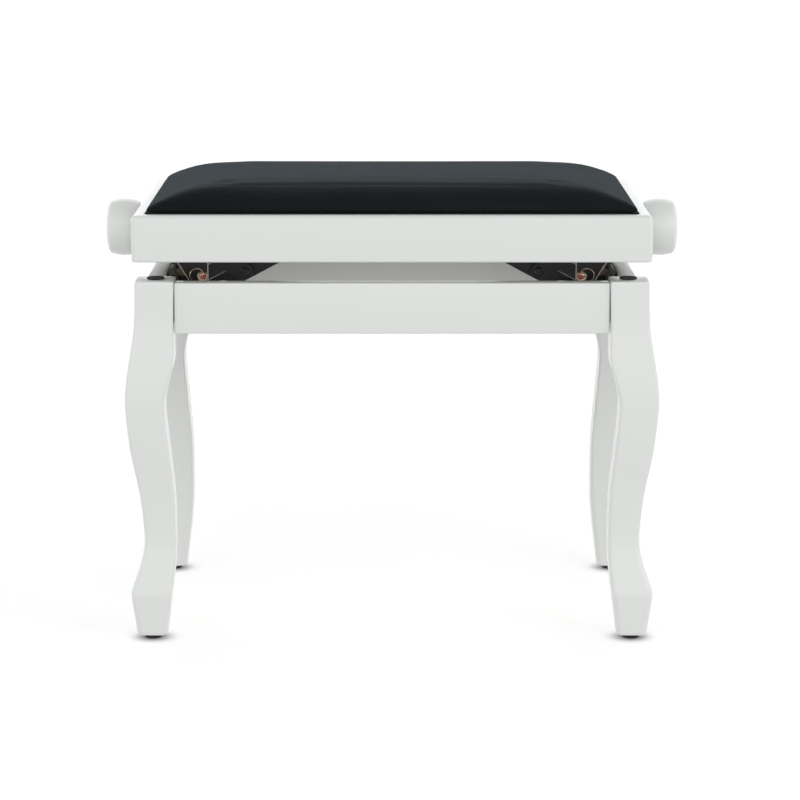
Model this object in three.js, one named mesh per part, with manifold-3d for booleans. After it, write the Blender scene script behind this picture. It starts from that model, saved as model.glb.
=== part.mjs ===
// Height-adjustable piano bench: an upholstered seat on a lacquered wooden frame, raised and lowered on
// four bowed legs by a two-handed screw and a pair of steel lift arms.
// Millimetres, +Z up, front facing -Y, origin on the floor under the middle of the bench.
// The seat is drawn a little above its lowest position.

import * as THREE from 'three';
import { mergeVertices } from 'three/addons/utils/BufferGeometryUtils.js';
import Module from 'manifold-3d';

const wasm = await Module();
wasm.setup();

// ---------- driving dimensions ----------

const GAP = 0.3;                  // clearance between pieces that touch
const ROUND = 12;                 // sides of a round bar or hole
const ARC_STEPS = 5;              // half the sides of a round outline on a sheet

const LEG_TOP = 393;              // height of the leg tops
const LEG_SIZE = 41.5;            // square section at the top of a leg
const BASE_W = 547;               // over the outer faces of the leg tops
const BASE_D = 330;
const PAD_H = 5;                  // foot pad under each leg
const PAD_R = 9;
const BUMPER_H = 2.4;             // soft disc on each leg top, where the lowered seat lands
const BUMPER_R = 9.5;

const APRON_H = 54;
const APRON_T = 20;               // front and rear aprons
const APRON_SIDE_T = 17;
const APRON_BACKSET = 4;          // front and rear aprons behind the leg faces
const APRON_SIDE_INSET = 10;      // side aprons inside the leg faces
const APRON_TOP = LEG_TOP - 1;

const SEAT_W = 552;
const SEAT_D = 335;
const SEAT_BOTTOM = 414;          // underside of the seat frame as drawn
const SEAT_H = 50;
const SEAT_T = 22;                // thickness of the frame rails
const SEAT_LIP = 13.5;            // width of the rail top outside the seat board
const REBATE = 10;                // depth of the step that carries the board
const SEAT_TOP = SEAT_BOTTOM + SEAT_H;

const CUSHION_RISE = 28.6;         // crown of the cushion above the frame

const SCREW_Z = 430;              // axis of the screw as drawn
const SCREW_R = 6;
const KNOB_R = 31.6;
const KNOB_IN = 280.6;            // inner and outer faces of a knob, from the middle of the bench
const KNOB_OUT = 317;

const PIVOT_X = 231;              // base pivot of a lift arm, from the middle of the bench
const PIVOT_Z = 354;
const NUT_X = 89;                 // nut on the screw as drawn
const NUT_BORE_R = 10;
const PIN_R = 4;
const PIN_HOLE_R = 4.3;
const PIN_HEAD_R = 7;
const ARM_W = 20;
const LINK_W = 18;
const SLOT_HALF = 4;              // half travel of the pin in the slot of a hanger

// Layers of the mechanism, from the middle of the bench outward: [inner, outer] distances in Y.
const EAR = [67.5, 71.5];
const ARM = [73, 77];
const LINK = [78.5, 82.5];
const HANGER = [84, 88];

const ARM_LENGTH = Math.hypot(PIVOT_X - NUT_X, SCREW_Z - PIVOT_Z);
const ARM_ANGLE = Math.atan2(SCREW_Z - PIVOT_Z, PIVOT_X - NUT_X);

// ---------- materials ----------

const finish = (color, roughness, metalness) => new THREE.MeshStandardMaterial({ color, roughness, metalness });
const LACQUER = finish(0xf1f1ee, 0.35, 0);
const VELVET = finish(0x1b212b, 0.95, 0);
const PLYWOOD = finish(0xc9a878, 0.8, 0);
const BLACK_STEEL = finish(0x1d1d1f, 0.45, 0.6);
const BARE_STEEL = finish(0xa9abad, 0.35, 0.95);
const ZINC = finish(0xcdb878, 0.35, 0.9);
const RUBBER = finish(0x151515, 0.85, 0);

// ---------- shared geometry helpers ----------

/** Closed skin through a stack of rings that all have the same number of points, lowest ring first. */
function loft(rings) {
  const count = rings[0].length;
  const points = rings.flat();
  const faces = [];
  for (let level = 0; level < rings.length - 1; level++) {
    for (let i = 0; i < count; i++) {
      const a = level * count + i;
      const b = level * count + (i + 1) % count;
      faces.push(a, b, b + count, a, b + count, a + count);
    }
  }
  const top = (rings.length - 1) * count;
  for (let i = 1; i < count - 1; i++) {
    faces.push(0, i + 1, i);
    faces.push(top, top + i, top + i + 1);
  }
  const geometry = new THREE.BufferGeometry().setFromPoints(points);
  geometry.setIndex(faces);
  return geometry;
}

/** Rounded rectangle at one height, counter-clockwise seen from above. */
function roundedRing(x, y, z, halfX, halfY, radius, perCorner) {
  const ring = [];
  for (let corner = 0; corner < 4; corner++) {
    const cornerX = x + (corner === 0 || corner === 3 ? 1 : -1) * (halfX - radius);
    const cornerY = y + (corner < 2 ? 1 : -1) * (halfY - radius);
    for (let i = 0; i < perCorner; i++) {
      const angle = (corner + i / (perCorner - 1)) * Math.PI / 2;
      ring.push(new THREE.Vector3(cornerX + radius * Math.cos(angle), cornerY + radius * Math.sin(angle), z));
    }
  }
  return ring;
}

/** Manifold solid of a closed geometry, for joining and cutting. */
function toSolid(geometry) {
  const bare = geometry.clone();
  bare.deleteAttribute('normal');
  bare.deleteAttribute('uv');
  const merged = mergeVertices(bare, 1e-3);
  return new wasm.Manifold(new wasm.Mesh({
    numProp: 3,
    vertProperties: new Float32Array(merged.attributes.position.array),
    triVerts: new Uint32Array(merged.index.array),
  }));
}

function fromSolid(solid) {
  const mesh = solid.getMesh();
  const geometry = new THREE.BufferGeometry();
  geometry.setAttribute('position', new THREE.BufferAttribute(mesh.vertProperties, 3));
  geometry.setIndex(new THREE.BufferAttribute(mesh.triVerts, 1));
  return geometry;
}

const join = (first, ...others) => fromSolid(others.reduce((sum, g) => sum.add(toSolid(g)), toSolid(first)));
const cut = (body, ...tools) => fromSolid(tools.reduce((rest, g) => rest.subtract(toSolid(g)), toSolid(body)));

/** Box between two opposite corners. */
function block(low, high) {
  const size = high.map((value, i) => value - low[i]);
  return new THREE.BoxGeometry(...size).translate(...low.map((value, i) => value + size[i] / 2));
}

/** Round bar along X or Y between two places on its axis. */
function bar(axis, radius, from, to, sides = ROUND) {
  const geometry = new THREE.CylinderGeometry(radius, radius, to - from, sides);
  geometry.translate(0, (from + to) / 2, 0);
  return axis === 'x' ? geometry.rotateZ(-Math.PI / 2) : geometry;
}

/** Turned piece about Y from [radius, place] pairs that start and end on the axis. */
const turned = (profile, sides = ROUND) =>
  new THREE.LatheGeometry(profile.map(([r, y]) => new THREE.Vector2(r, y)), sides);

/** Round bar along Y with a head on each end. */
const headedPin = (length, headStart) => turned([
  [0, -length], [PIN_HEAD_R, -length], [PIN_HEAD_R, -headStart], [PIN_R, -headStart],
  [PIN_R, headStart], [PIN_HEAD_R, headStart], [PIN_HEAD_R, length], [0, length],
]);

/** Sheet of steel: an outline in X and Z, thick in Y between two places. */
function sheet(outline, from, to) {
  const geometry = new THREE.ExtrudeGeometry(outline, { depth: to - from, bevelEnabled: false, curveSegments: ARC_STEPS });
  return geometry.rotateX(Math.PI / 2).translate(0, to, 0);
}

function roundHole(x, z, radius) {
  const hole = new THREE.Path();
  hole.absarc(x, z, radius, 0, 2 * Math.PI, true);
  return hole;
}

/** Strip of steel along +X with round ends, centred on pivots at 0 and length. */
function strip(length, width, holes, from, to) {
  const radius = width / 2;
  const outline = new THREE.Shape();
  outline.absarc(length, 0, radius, -Math.PI / 2, Math.PI / 2, false);
  outline.absarc(0, 0, radius, Math.PI / 2, 1.5 * Math.PI, false);
  holes.forEach((x) => outline.holes.push(roundHole(x, 0, PIN_HOLE_R)));
  return sheet(outline, from, to);
}

// ---------- the bench ----------

const bench = new THREE.Group();

function add(name, geometry, material, scale = [1, 1, 1]) {
  const mesh = new THREE.Mesh(geometry, material);
  mesh.name = name;
  mesh.scale.set(...scale);
  bench.add(mesh);
}

/** Adds a piece made for the left side, and its mirror image on the right. */
function addPair(name, geometry, material) {
  add(`${name}_left`, geometry, material);
  add(`${name}_right`, geometry, material, [-1, 1, 1]);
}

/** Adds a piece made for the front left corner, and its mirror images at the other corners. */
function addFour(name, geometry, material) {
  add(`${name}_front_left`, geometry, material);
  add(`${name}_front_right`, geometry, material, [-1, 1, 1]);
  add(`${name}_rear_left`, geometry, material, [1, -1, 1]);
  add(`${name}_rear_right`, geometry, material, [-1, -1, 1]);
}

// ---------- legs ----------

const LEG_X = (BASE_W - LEG_SIZE) / 2;
const LEG_Y = (BASE_D - LEG_SIZE) / 2;

// Bow of a leg, the same to the side and to the front: height, then how far the outer and inner faces
// stand outward of the faces at the leg top. The last pair is the ridge of the foot.
const LEG_BOW = [
  [LEG_TOP, 0, 0],
  [345, 1.4, 1],
  [308, 6.8, 1.2],
  [286, 10, 6.6],
  [258, 11.3, 11.3],
  [210, 6.9, 7.4],
  [160, -1.6, 2.8],
  [112, -5.7, 2.1],
  [86, -2, 2.7],
  [56, 8.1, 5.4],
];
const LEG_END = [2.9, 12];        // outer and inner faces at the bottom, below the ridge
const LEG_STEPS = 2;              // rings between two rows of the bow

function legRing(z, outer, inner) {
  const centre = (outer + inner) / 2;
  const half = (LEG_SIZE + outer - inner) / 2;
  return roundedRing(-LEG_X - centre, -LEG_Y - centre, z, half, half, 0.28 * half, 3);
}

function leg() {
  const outer = new THREE.SplineCurve(LEG_BOW.map(([z, out]) => new THREE.Vector2(out, z)));
  const inner = new THREE.SplineCurve(LEG_BOW.map(([z, , into]) => new THREE.Vector2(into, z)));
  const steps = (LEG_BOW.length - 1) * LEG_STEPS;
  const rings = [];
  for (let i = steps; i >= 0; i--) {
    const place = outer.getPoint(i / steps);
    rings.push(legRing(place.y, place.x, inner.getPoint(i / steps).x));
  }
  rings.unshift(legRing(PAD_H + GAP, ...LEG_END));
  return loft(rings);
}

const FOOT_SHIFT = (LEG_END[0] + LEG_END[1]) / 2;
const footX = -LEG_X - FOOT_SHIFT;
const footY = -LEG_Y - FOOT_SHIFT;

/** Short upright disc. */
const disc = (radius, x, y, from, to) =>
  new THREE.CylinderGeometry(radius, radius, to - from, 20).rotateX(Math.PI / 2).translate(x, y, (from + to) / 2);

// The bolt of each leg runs level along the diagonal of its corner, from inside the leg through the brace.
const BOLT_Z = 353;
const BOLT_R = 4;
const BOLT_NUT_R = 9;
const BRACE_REACH = 25.5;           // from the inner corner of the leg to the far face of the brace
const BRACE_T = 11;
const BRACE_H = [339.5, 379];

const cornerX = -LEG_X + LEG_SIZE / 2;
const cornerY = -LEG_Y + LEG_SIZE / 2;

/** Turned piece along the diagonal of the front left corner, place 0 at the inner corner of the leg. */
const diagonal = (geometry) => geometry.rotateZ(-Math.PI / 4).translate(cornerX, cornerY, BOLT_Z);

const legBolt = () => diagonal(turned([
  [0, -12], [BOLT_R, -12], [BOLT_R, BRACE_REACH + GAP], [BOLT_NUT_R, BRACE_REACH + GAP],
  [BOLT_NUT_R, BRACE_REACH + 7], [BOLT_R, BRACE_REACH + 7], [BOLT_R, BRACE_REACH + 11], [0, BRACE_REACH + 11],
]));
const legBoltHole = () => diagonal(bar('y', BOLT_R + GAP, -12 - GAP, BRACE_REACH + 20));

addFour('leg', cut(leg(), legBoltHole()), LACQUER);
addFour('foot_pad', disc(PAD_R, footX, footY, 0, PAD_H), RUBBER);
addFour('leg_top_bumper', disc(BUMPER_R, -LEG_X + 0.6, -LEG_Y, LEG_TOP + GAP, LEG_TOP + BUMPER_H), RUBBER);
addFour('leg_bolt', legBolt(), BARE_STEEL);

// ---------- aprons and corner braces ----------

const APRON_EDGE = 2.5;           // rounding of the long edges

/** Rail along X, centred, with rounded long edges; y and z are the places of its front and bottom faces. */
function roundedRail(length, y, z, thickness, height) {
  const r = APRON_EDGE;
  const outline = new THREE.Shape();
  outline.absarc(thickness - r, r, r, -Math.PI / 2, 0, false);
  outline.absarc(thickness - r, height - r, r, 0, Math.PI / 2, false);
  outline.absarc(r, height - r, r, Math.PI / 2, Math.PI, false);
  outline.absarc(r, r, r, Math.PI, 1.5 * Math.PI, false);
  const geometry = new THREE.ExtrudeGeometry(outline, { depth: length, bevelEnabled: false, curveSegments: 3 });
  const turn = new THREE.Matrix4().makeBasis(
    new THREE.Vector3(0, 1, 0), new THREE.Vector3(0, 0, 1), new THREE.Vector3(1, 0, 0));
  return geometry.applyMatrix4(turn).translate(-length / 2, y, z);
}

const APRON_Z = APRON_TOP - APRON_H;
const frontY = -BASE_D / 2 + APRON_BACKSET;
const sideX = -BASE_W / 2 + APRON_SIDE_INSET;
const frontLength = 2 * (-cornerX - GAP);
const sideLength = 2 * (-cornerY - GAP);

const frontApron = roundedRail(frontLength, frontY, APRON_Z, APRON_T, APRON_H);
const sideApron = roundedRail(sideLength, sideX, APRON_Z, APRON_SIDE_T, APRON_H).rotateZ(-Math.PI / 2);
add('apron_front', frontApron, LACQUER);
add('apron_rear', frontApron, LACQUER, [1, -1, 1]);
addPair('apron', sideApron, LACQUER);

/** Wooden brace across a corner, cut to the inner faces of the two aprons, with the hole of its bolt. */
function brace() {
  const faceX = sideX + APRON_SIDE_T + GAP;
  const faceY = frontY + APRON_T + GAP;
  const reach = BRACE_REACH * Math.SQRT2;
  const near = (BRACE_REACH - BRACE_T) * Math.SQRT2;
  const plan = new THREE.Shape([
    new THREE.Vector2(faceX, cornerY + reach + cornerX - faceX),
    new THREE.Vector2(faceX, cornerY + near + cornerX - faceX),
    new THREE.Vector2(cornerX + near + cornerY - faceY, faceY),
    new THREE.Vector2(cornerX + reach + cornerY - faceY, faceY),
  ]);
  const height = BRACE_H[1] - BRACE_H[0];
  const geometry = new THREE.ExtrudeGeometry(plan, { depth: height, bevelEnabled: false });
  return cut(geometry.translate(0, 0, BRACE_H[0]), legBoltHole());
}
addFour('corner_brace', brace(), PLYWOOD);

// ---------- seat frame, board and cushion ----------

const RAIL_TOP_EDGE = 6;          // rounding of the outer top edge
const RAIL_LOW_EDGE = 2.5;

/** Mitred rail of the seat frame as the front one, its outer face at the given distance in front. */
function seatRail(length, distance) {
  const outline = new THREE.Shape();
  outline.moveTo(RAIL_LOW_EDGE, 0);
  outline.lineTo(SEAT_T, 0);
  outline.lineTo(SEAT_T, SEAT_H - REBATE);
  outline.lineTo(SEAT_LIP, SEAT_H - REBATE);
  outline.lineTo(SEAT_LIP, SEAT_H);
  outline.absarc(RAIL_TOP_EDGE, SEAT_H - RAIL_TOP_EDGE, RAIL_TOP_EDGE, Math.PI / 2, Math.PI, false);
  outline.absarc(RAIL_LOW_EDGE, RAIL_LOW_EDGE, RAIL_LOW_EDGE, Math.PI, 1.5 * Math.PI, false);
  const geometry = new THREE.ExtrudeGeometry(outline, { depth: length, bevelEnabled: false, curveSegments: 4 });
  const place = geometry.attributes.position;
  for (let i = 0; i < place.count; i++) {
    const setback = place.getX(i) + GAP / 2;
    place.setZ(i, place.getZ(i) < length / 2 ? setback : length - setback);
  }
  const turn = new THREE.Matrix4().makeBasis(
    new THREE.Vector3(0, 1, 0), new THREE.Vector3(0, 0, 1), new THREE.Vector3(1, 0, 0));
  return geometry.applyMatrix4(turn).translate(-length / 2, -distance, SEAT_BOTTOM);
}

const BUSH_R = 9;
const frontRail = seatRail(SEAT_W, SEAT_D / 2);
const screwHole = bar('x', BUSH_R + GAP, -SEAT_W / 2 - 5, -SEAT_W / 2 + SEAT_T + 5).translate(0, 0, SCREW_Z);
const sideRail = cut(seatRail(SEAT_D, SEAT_W / 2).rotateZ(-Math.PI / 2), screwHole);
add('seat_rail_front', frontRail, LACQUER);
add('seat_rail_rear', frontRail, LACQUER, [1, -1, 1]);
addPair('seat_rail', sideRail, LACQUER);

const boardX = SEAT_W / 2 - SEAT_LIP - GAP;
const boardY = SEAT_D / 2 - SEAT_LIP - GAP;
const BOARD_BOTTOM = SEAT_TOP - REBATE + GAP;
add('seat_board', block([-boardX, -boardY, BOARD_BOTTOM], [boardX, boardY, SEAT_TOP - GAP]), PLYWOOD);

// Cushion: height above its foot, how far the ends and the front and back stand in, then the corner radius.
const CUSHION_SHAPE = [
  [0, 1, 0.6, 6],
  [3, -0.6, -0.8, 7],
  [7, 5.3, 1.5, 8],
  [11, 12.2, 4.6, 9],
  [15, 21, 9, 11],
  [18.5, 30, 14.5, 13],
  [21, 37.5, 19.5, 15],
  [23, 44.5, 25, 18],
  [24.8, 53.5, 32, 21],
  [26.2, 63.5, 40.5, 24],
  [27.2, 76, 50, 28],
  [27.9, 92, 64, 32],
  [28.4, 124, 90, 34],
  [28.6, 190, 128, 20],
];

function cushion() {
  const stretch = (CUSHION_RISE - GAP) / CUSHION_RISE;
  return loft(CUSHION_SHAPE.map(([height, endInset, sideInset, radius]) =>
    roundedRing(0, 0, SEAT_TOP + GAP + height * stretch, boardX - endInset, boardY - sideInset, radius, 5)));
}
add('cushion', cushion(), VELVET);

// ---------- screw, bushings, knobs and nuts ----------

const screw = bar('x', SCREW_R, -KNOB_OUT + 12, KNOB_OUT - 12).translate(0, 0, SCREW_Z);
add('screw', screw, BARE_STEEL);

/** Flanged bushing in the left side rail. */
function bushing() {
  const face = -SEAT_W / 2;
  const sleeve = bar('x', BUSH_R, face - 1, face + SEAT_T);
  const flange = bar('x', BUSH_R + 5, face - 3, face - GAP);
  const bore = bar('x', SCREW_R + GAP, face - 10, face + SEAT_T + 10);
  return cut(join(sleeve, flange), bore).translate(0, 0, SCREW_Z);
}
addPair('bushing', bushing(), BLACK_STEEL);

/** Turned wooden knob on the left end of the screw, barrel-shaped, with a blind hole for the screw. */
function knob() {
  const length = KNOB_OUT - KNOB_IN;
  const waist = 0.46 * length;    // place of the largest radius, from the inner face
  const barrel = (place) => KNOB_R - 0.0115 * (place - waist) ** 2;
  const depth = length - 10;
  const profile = [[0, depth], [SCREW_R + GAP, depth], [SCREW_R + GAP, 0], [barrel(0) - 4, 0]];
  [1.5, 5, 10, 15, 20, 25, 29].forEach((place) => profile.push([barrel(place) - (place < 2 ? 1.2 : 0), place]));
  profile.push([barrel(32) - 1.5, 32], [barrel(34) - 6, 34.2], [0, length]);
  return turned(profile, 24).rotateZ(Math.PI / 2).translate(-KNOB_IN, 0, SCREW_Z);
}
addPair('knob', knob(), LACQUER);

/** Crossbar with the threaded block in its middle; its end pins carry the two sides of the lift arm. */
function nutCrossbar() {
  const head = ARM[1] + 0.4;
  const shoulder = ARM[0] - 1;
  const crossbar = turned([
    [0, -head - 2.6], [PIN_HEAD_R, -head - 2.6], [PIN_HEAD_R, -head], [PIN_R, -head],
    [PIN_R, -shoulder], [PIN_HEAD_R, -shoulder], [PIN_HEAD_R, shoulder], [PIN_R, shoulder],
    [PIN_R, head], [PIN_HEAD_R, head], [PIN_HEAD_R, head + 2.6], [0, head + 2.6],
  ]);
  const body = block([-14, -14, -14], [14, 14, 14]);
  return cut(join(body, crossbar), bar('x', NUT_BORE_R, -20, 20)).translate(-NUT_X, 0, SCREW_Z);
}
addPair('nut_crossbar', nutCrossbar(), BARE_STEEL);

// ---------- lift arms, half links and their pivots ----------

/** Point on the left lift arm at a distance from its base pivot. */
const onArm = (distance) => [
  -PIVOT_X + distance * Math.cos(ARM_ANGLE),
  PIVOT_Z + distance * Math.sin(ARM_ANGLE),
];
const [MIDDLE_X, MIDDLE_Z] = onArm(ARM_LENGTH / 2);

/** Front side of the left lift arm, from its base pivot up to the crossbar of the nut. */
const liftArm = strip(ARM_LENGTH, ARM_W, [0, ARM_LENGTH / 2, ARM_LENGTH], -ARM[1], -ARM[0])
  .rotateY(-ARM_ANGLE).translate(-PIVOT_X, 0, PIVOT_Z);
addFour('lift_arm', liftArm, BLACK_STEEL);

/** Half link at the front left, from the hanger down to the middle of the arm, with its riveted stud. */
function halfLink() {
  const plate = strip(ARM_LENGTH / 2, LINK_W, [ARM_LENGTH / 2], -LINK[1], -LINK[0]);
  const stud = turned([
    [0, -HANGER[1] - 3.4], [PIN_HEAD_R, -HANGER[1] - 3.4], [PIN_HEAD_R, -HANGER[1] - 0.6],
    [PIN_R, -HANGER[1] - 0.6], [PIN_R, -LINK[0] - 1], [0, -LINK[0] - 1],
  ]);
  return join(plate, stud).rotateY(ARM_ANGLE).translate(-PIVOT_X, 0, SCREW_Z);
}
addFour('half_link', halfLink(), BLACK_STEEL);

addPair('middle_rod', headedPin(LINK[1] + 3.2, LINK[1] + 0.5).translate(MIDDLE_X, 0, MIDDLE_Z), BLACK_STEEL);

const BRACKET_LOW = PIVOT_Z - 12;
const BRACKET_HIGH = PIVOT_Z + 10;

/** Angle bracket over half the inner face of the left side apron, with the riveted stud of a lift arm. */
function baseBracket() {
  const wall = sideX + APRON_SIDE_T + GAP;
  const foot = block([wall, -EAR[1], BRACKET_LOW], [wall + 3, -0.5, APRON_TOP - 4]);
  const ear = block([wall, -EAR[1], BRACKET_LOW], [-PIVOT_X + 10, -EAR[0], BRACKET_HIGH]);
  const stud = turned([
    [0, -ARM[1] - 3], [PIN_HEAD_R, -ARM[1] - 3], [PIN_HEAD_R, -ARM[1] - 0.4],
    [PIN_R, -ARM[1] - 0.4], [PIN_R, -EAR[0] - 1], [0, -EAR[0] - 1],
  ]).translate(-PIVOT_X, 0, PIVOT_Z);
  return join(foot, ear, stud);
}
addFour('base_bracket', baseBracket(), BLACK_STEEL);

// ---------- seat hangers and their bolts ----------

const HANGER_BOLT_X = 205.8;
const HANGER_BOLT_Z = 388.2;
const HANGER_BOLT_R = 3;
const CUP_SHIFT = [-6, 1];        // middle of the cup washer from the bolt, outward and up
const HANGER_TOP = BOARD_BOTTOM - GAP;
const HANGER_INNER = 199.6;
const HANGER_OUTER = 243;

/** Plate of the front left hanger, with the slot for the stud of the half link and the hole of its bolt. */
function hangerPlate(from, to) {
  const outline = new THREE.Shape();
  outline.moveTo(-HANGER_OUTER, HANGER_TOP);
  outline.lineTo(-HANGER_OUTER, 418);
  outline.lineTo(-222, 384);
  outline.absarc(-217, 381, 5, Math.PI, 1.5 * Math.PI, false);
  outline.lineTo(-HANGER_INNER, 376);
  outline.lineTo(-HANGER_INNER, HANGER_TOP);
  const slot = new THREE.Path();
  slot.absarc(-PIVOT_X, SCREW_Z + SLOT_HALF, PIN_HOLE_R, Math.PI, 0, true);
  slot.absarc(-PIVOT_X, SCREW_Z - SLOT_HALF, PIN_HOLE_R, 0, -Math.PI, true);
  outline.holes.push(slot, roundHole(-HANGER_BOLT_X, HANGER_BOLT_Z, HANGER_BOLT_R + GAP));
  return sheet(outline, from, to);
}

/** Angle bracket under the seat board that holds the upper end of a half link. */
function hanger() {
  const flange = block(
    [-HANGER_OUTER, -HANGER[0] - 1, HANGER_TOP - 3.5], [-HANGER_INNER, -HANGER[0] + 20, HANGER_TOP]);
  return join(hangerPlate(-HANGER[1], -HANGER[0]), flange);
}
addFour('hanger', hanger(), BLACK_STEEL);

/** Bolt of the hanger with its round nut, on an eccentric cup washer that is open to the front. */
function hangerBolt() {
  const face = -HANGER[1] - GAP;
  const nut = turned([
    [0, face - 9], [HANGER_BOLT_R, face - 9], [HANGER_BOLT_R, face - 8], [5.4, face - 8],
    [5.4, face], [HANGER_BOLT_R, face], [HANGER_BOLT_R, -HANGER[0]], [0, -HANGER[0]],
  ]);
  const cup = turned([[0, face - 1.2], [7, face - 1.2], [7, face - 5], [8, face - 5], [8, face], [0, face]]);
  return join(nut, cup.translate(CUP_SHIFT[0], 0, CUP_SHIFT[1])).translate(-HANGER_BOLT_X, 0, HANGER_BOLT_Z);
}
addFour('hanger_bolt', hangerBolt(), ZINC);

export default bench;
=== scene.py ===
"""Looks of the height-adjustable piano bench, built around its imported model. Metres, +Z up, front at -Y."""

import math

import bmesh
import bpy
from mathutils import Matrix, Vector


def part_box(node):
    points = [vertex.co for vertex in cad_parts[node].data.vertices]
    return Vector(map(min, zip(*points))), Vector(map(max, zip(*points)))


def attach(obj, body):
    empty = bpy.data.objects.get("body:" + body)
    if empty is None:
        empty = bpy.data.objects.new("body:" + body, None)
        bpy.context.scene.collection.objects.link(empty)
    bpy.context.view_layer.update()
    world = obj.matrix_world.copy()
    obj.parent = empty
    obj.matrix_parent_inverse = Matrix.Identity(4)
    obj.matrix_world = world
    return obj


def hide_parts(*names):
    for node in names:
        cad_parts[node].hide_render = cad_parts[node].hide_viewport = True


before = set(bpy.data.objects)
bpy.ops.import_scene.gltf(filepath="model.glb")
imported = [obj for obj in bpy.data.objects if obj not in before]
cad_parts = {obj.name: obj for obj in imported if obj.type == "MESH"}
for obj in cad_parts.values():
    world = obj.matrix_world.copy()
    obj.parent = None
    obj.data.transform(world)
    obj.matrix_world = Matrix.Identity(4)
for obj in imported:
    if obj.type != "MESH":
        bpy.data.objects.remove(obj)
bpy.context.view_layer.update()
scene = bpy.context.scene
MM = 0.001
GAP = 0.3 * MM
SIDES = {"left": -1, "right": 1}
# Signs that carry a piece made for the front left corner to each corner.
CORNERS = {"front_left": (1, 1), "front_right": (-1, 1), "rear_left": (1, -1), "rear_right": (-1, -1)}


# ---------- node helpers ----------

class Surface:
    """A material and short ways to add and join the nodes behind its Principled shader."""

    def __init__(self, name, **values):
        self.material = bpy.data.materials.new(name)
        self.material.use_nodes = True
        self.tree = self.material.node_tree
        self.shader = self.tree.nodes["Principled BSDF"]
        for key, value in values.items():
            self.shader.inputs[key.replace("_", " ")].default_value = value
        self.place = self.node("ShaderNodeTexCoord").outputs["Object"]

    def node(self, kind, **inputs):
        made = self.tree.nodes.new(kind)
        for key, value in inputs.items():
            self.feed(made.inputs[key.replace("_", " ")], value)
        return made

    def feed(self, socket, value):
        if isinstance(value, bpy.types.NodeSocket):
            self.tree.links.new(value, socket)
        else:
            socket.default_value = value

    def stretched(self, scale, at=(0, 0, 0)):
        mapping = self.node("ShaderNodeMapping", Vector=self.place, Location=at, Scale=scale)
        return mapping.outputs["Vector"]

    def noise(self, scale, stretch=(1, 1, 1), detail=3.0, roughness=0.55):
        made = self.node("ShaderNodeTexNoise", Vector=self.stretched(stretch), Scale=scale, Detail=detail,
                         Roughness=roughness)
        return made.outputs["Fac"]

    def ramp(self, value, *stops):
        """Colour ramp through (position, colour) stops; a number stands for a grey."""
        made = self.node("ShaderNodeValToRGB", Fac=value)
        elements = made.color_ramp.elements
        while len(elements) < len(stops):
            elements.new(0.5)
        for element, (position, colour) in zip(elements, stops):
            element.position = position
            element.color = (*colour, 1) if isinstance(colour, tuple) else (colour, colour, colour, 1)
        return made.outputs["Color"]

    def mix(self, factor, a, b, blend="MIX"):
        made = self.tree.nodes.new("ShaderNodeMix")
        made.data_type = "RGBA"
        made.blend_type = blend
        self.feed(made.inputs[0], factor)
        self.feed(made.inputs[6], a if isinstance(a, bpy.types.NodeSocket) else (*a, 1))
        self.feed(made.inputs[7], b if isinstance(b, bpy.types.NodeSocket) else (*b, 1))
        return made.outputs[2]

    def bump(self, *layers):
        """Stack of bumps, each (height socket, strength, distance in metres)."""
        normal = None
        for height, strength, distance in layers:
            made = self.node("ShaderNodeBump", Height=height, Strength=strength, Distance=distance)
            if normal:
                self.feed(made.inputs["Normal"], normal)
            normal = made.outputs["Normal"]
        self.feed(self.shader.inputs["Normal"], normal)

    def set(self, key, value):
        self.feed(self.shader.inputs[key], value)


# ---------- materials ----------

GRAIN = {"x": (0.05, 1, 1), "y": (1, 0.05, 1), "z": (1, 1, 0.05)}


def lacquer(name, along):
    """White satin lacquer sprayed on wood: a little orange peel, a hint of the grain under it."""
    s = Surface(name, IOR=1.5, Coat_Weight=0.45, Coat_Roughness=0.10)
    cloud = s.noise(4, detail=2)
    grain = s.noise(160, GRAIN[along], detail=5)
    tone = s.ramp(cloud, (0.0, (0.770, 0.792, 0.770)), (1.0, (0.788, 0.81, 0.788)))
    s.set("Base Color", s.mix(s.ramp(grain, (0.0, 0.0), (1.0, 0.08)), tone, (0.73, 0.75, 0.725)))
    s.set("Roughness", s.ramp(s.noise(12, detail=1), (0.0, 0.27), (1.0, 0.30)))
    s.bump((grain, 0.05, 0.0001), (s.noise(420, detail=2), 0.04, 0.00005))
    return s.material


def velvet():
    """Dark navy short-pile velvet with soft streaks where the pile leans."""
    s = Surface("velvet", Roughness=0.95, IOR=1.35, Sheen_Weight=1.0, Sheen_Roughness=0.28)
    s.shader.inputs["Sheen Tint"].default_value = (0.062, 0.079, 0.090, 1)
    s.shader.inputs["Specular IOR Level"].default_value = 0.12
    streak = s.noise(22, (0.22, 1, 1), detail=5, roughness=0.6)
    pile = s.noise(1500, detail=2)
    deep = s.ramp(streak, (0.3, (0.0075, 0.0082, 0.0090)), (0.75, (0.0135, 0.0150, 0.0168)))
    s.set("Base Color", s.mix(s.ramp(pile, (0.4, 0.0), (0.8, 0.45)), deep, (0.012, 0.016, 0.020)))
    s.bump((s.noise(110, (0.06, 1, 1), detail=4), 0.6, 0.0016), (pile, 0.5, 0.0003))
    return s.material


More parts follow.
